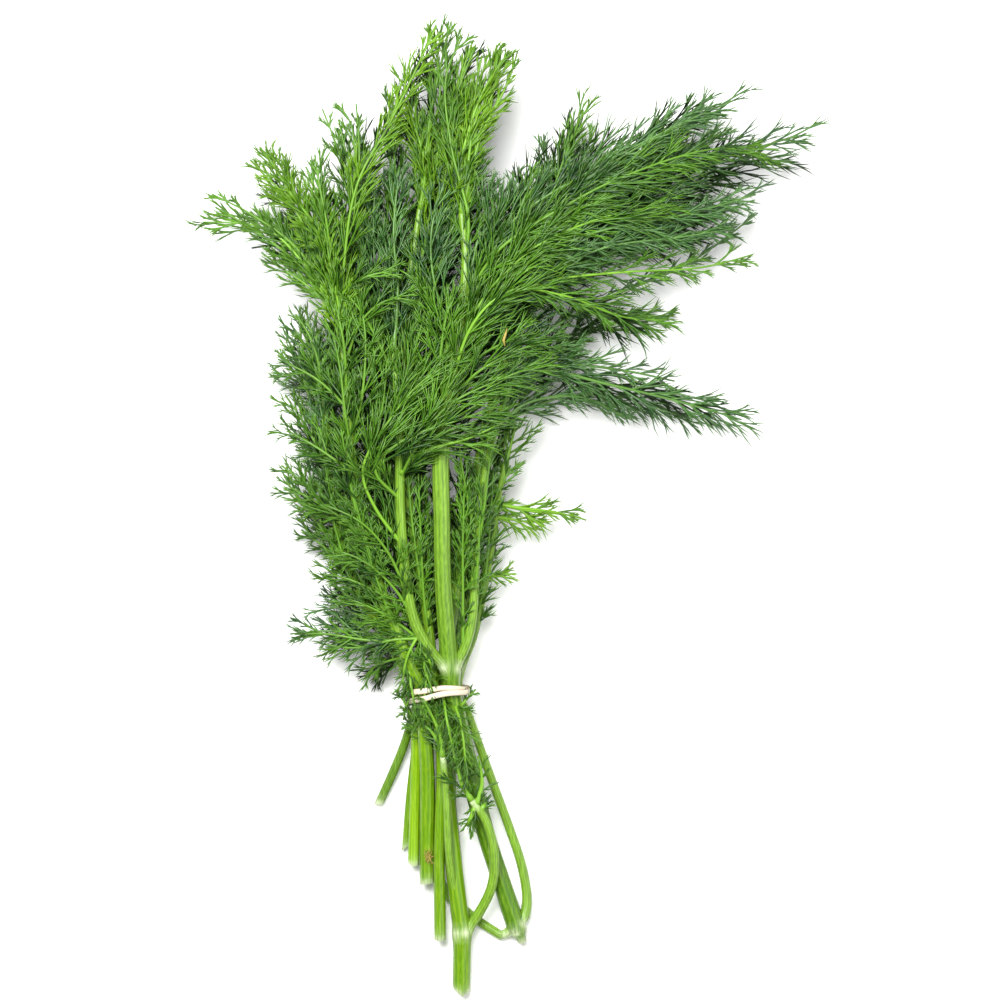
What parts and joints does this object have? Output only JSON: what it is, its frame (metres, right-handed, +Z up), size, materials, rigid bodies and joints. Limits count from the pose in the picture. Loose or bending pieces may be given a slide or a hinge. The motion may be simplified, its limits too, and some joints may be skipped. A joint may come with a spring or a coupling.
{
  "type": "dill bunch",
  "caption": "Bunch of fresh dill lying on its side, stems tied with a doubled rubber band and feathery fronds fanned out.",
  "frame": {"origin": "centre of the bunch's footprint on the surface it lies on", "axes": "+Z up from the surface, +Y along the bunch from the cut ends to the tips, +X to the right seen from above"},
  "size_m": [0.2144, 0.3277, 0.0438],
  "materials": {
    "stem": "fresh green stem, ribbed, softly glossy",
    "rubber": "cream rubber, satin",
    "green_frond": "bright mid green leaf threads",
    "blue_frond": "darker bluish green leaf threads",
    "lime_frond": "young yellow-green leaf threads"
  },
  "bodies": {
    "root": {"stem_stray": "stem", "stem_hidden_left": "stem", "stem_left": "stem", "stem_scarred": "stem", "stem_centre": "stem", "stem_long": "stem", "stem_forked": "stem", "stem_hidden_right": "stem", "rubber_band": "rubber", "frond_left_01": "blue_frond", "frond_left_02": "green_frond", "frond_left_03": "green_frond", "frond_left_04": "green_frond", "frond_left_05": "green_frond", "frond_left_06": "green_frond", "frond_left_07": "lime_frond", "frond_left_08": "green_frond", "frond_left_09": "green_frond", "frond_left_10": "blue_frond", "frond_left_11": "green_frond", "frond_left_12": "green_frond", "frond_left_13": "green_frond", "frond_left_14": "blue_frond", "frond_under_02": "green_frond", "frond_under_03": "green_frond", "frond_under_04": "blue_frond", "frond_under_05": "green_frond", "frond_under_06": "blue_frond", "frond_under_07": "green_frond", "frond_under_08": "green_frond", "frond_under_09": "blue_frond", "frond_top_01": "lime_frond", "frond_top_02": "green_frond", "frond_top_03": "green_frond", "frond_top_04": "green_frond", "frond_top_05": "lime_frond", "frond_top_06": "blue_frond", "frond_top_07": "blue_frond", "frond_top_08": "lime_frond", "frond_top_09": "blue_frond", "frond_inner_01": "green_frond", "frond_inner_02": "blue_frond", "frond_drape_01": "green_frond", "frond_drape_02": "green_frond", "frond_right_01": "green_frond", "frond_right_02": "blue_frond", "frond_right_03": "green_frond", "frond_right_04": "green_frond", "frond_right_05": "blue_frond", "frond_right_06": "blue_frond", "frond_right_07": "blue_frond", "frond_right_08": "green_frond", "frond_right_09": "blue_frond", "frond_right_10": "blue_frond", "frond_low_01": "lime_frond", "frond_low_02": "lime_frond", "frond_low_03": "green_frond", "frond_tie_01": "green_frond", "frond_tie_02": "green_frond"}
  },
  "joints": []
}
